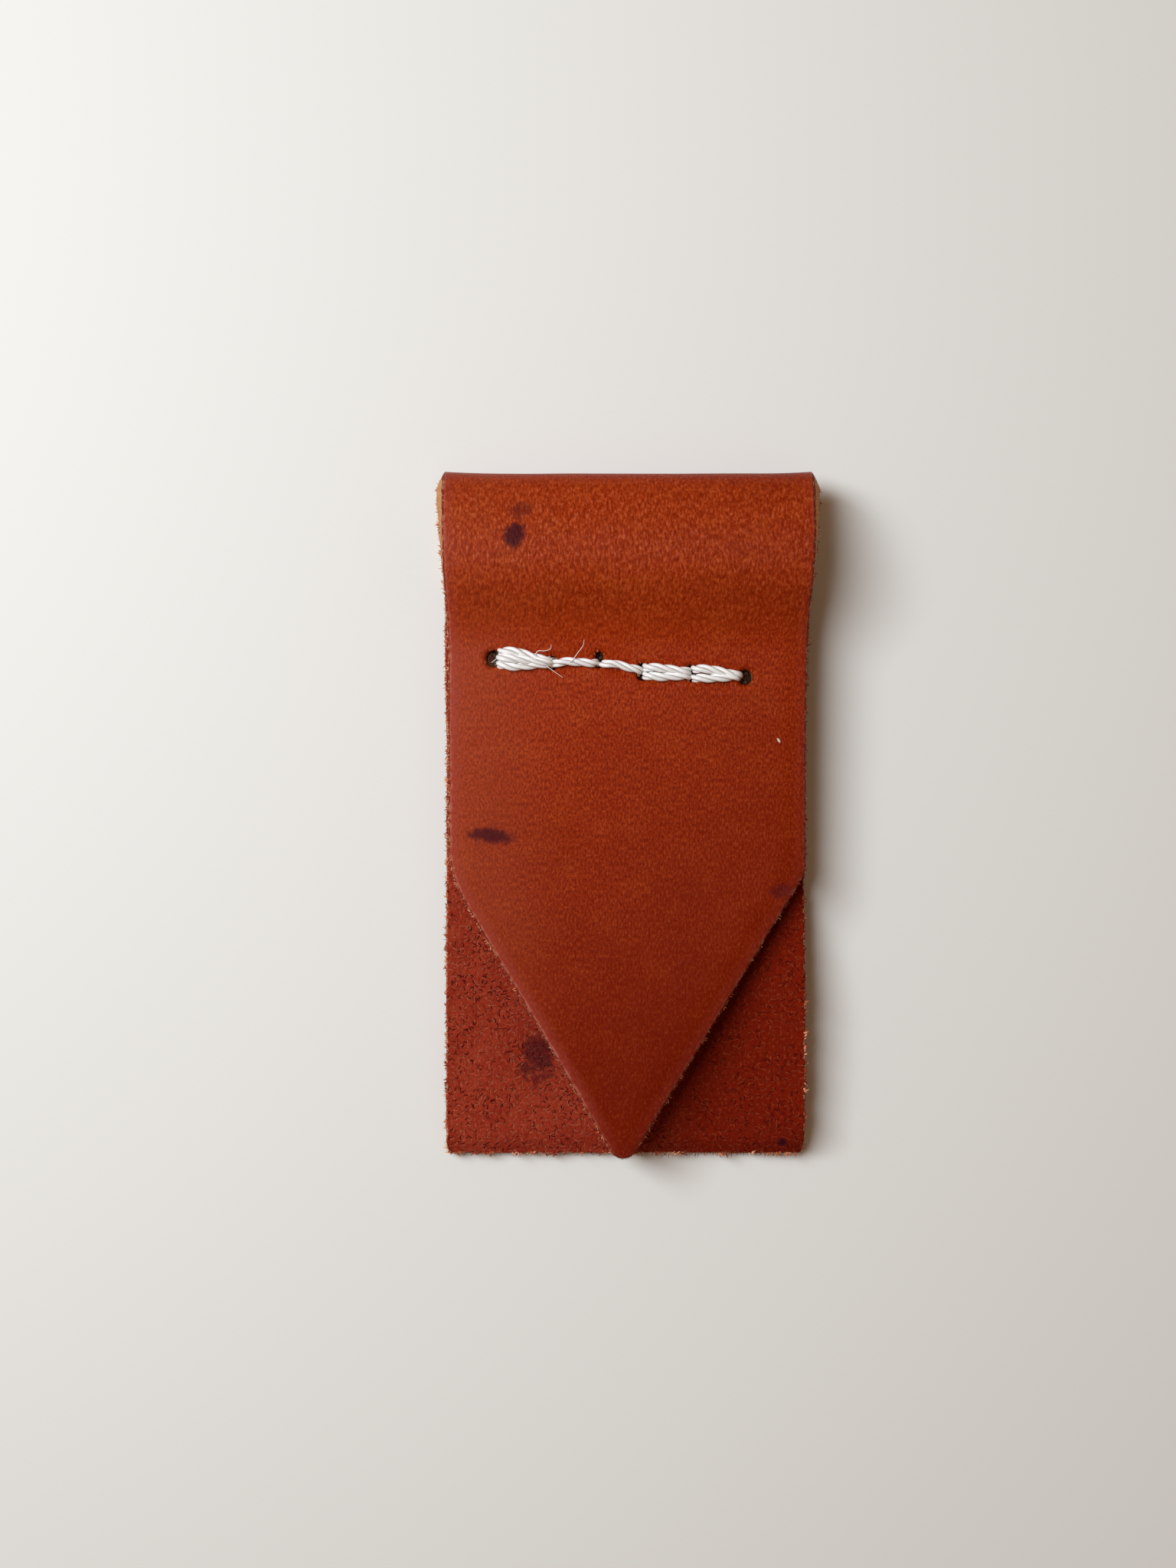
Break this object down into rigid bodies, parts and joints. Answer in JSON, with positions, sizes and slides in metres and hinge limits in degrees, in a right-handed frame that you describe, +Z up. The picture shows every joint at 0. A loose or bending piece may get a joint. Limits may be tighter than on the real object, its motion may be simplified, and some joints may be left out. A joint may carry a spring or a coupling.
{
  "type": "leather loop clip",
  "caption": "Folded leather strip sewn across below its fold, making a tunnel; a pointed front flap and a square back panel hang below it as two free tails that stand a little apart.",
  "frame": {"origin": "on the surface that the clip lies on, with its fold and the end of its back panel, under the middle of its box", "axes": "+X across the strip to the right, +Y along the strip towards the fold, +Z up through the plies, grain side of the front flap facing up"},
  "size_m": [0.0304, 0.0562, 0.0084],
  "materials": {
    "leather": "semi-matt vegetable tanned grain outside, raw flesh side inside",
    "thread": "waxed three-ply twisted thread"
  },
  "bodies": {
    "loop": {"fold_loop": "leather", "front_stitch_1": "thread", "front_stitch_2": "thread", "front_stitch_3": "thread", "front_stitch_4": "thread", "front_stitch_5": "thread", "back_stitch_1": "thread", "back_stitch_2": "thread", "back_stitch_3": "thread", "back_stitch_4": "thread", "back_stitch_5": "thread", "slot_thread_1": "thread", "slot_thread_2": "thread", "slot_thread_3": "thread", "slot_thread_4": "thread", "slot_thread_5": "thread", "slot_thread_6": "thread"},
    "flap": {"front_flap": "leather"},
    "panel": {"back_panel": "leather"}
  },
  "joints": [
    {"name": "flap_lift", "type": "hinge", "parent": "loop", "child": "flap", "pos_m": [0, 0.0096, 0.00585], "axis": [-1, 0, 0], "range_deg": [0, 75], "stiffness_Nm_per_rad": 0.05},
    {"name": "panel_flex", "type": "hinge", "parent": "loop", "child": "panel", "pos_m": [0, 0.007, 0.00232], "axis": [1, 0, 0], "range_deg": [0, 60], "stiffness_Nm_per_rad": 0.06}
  ]
}
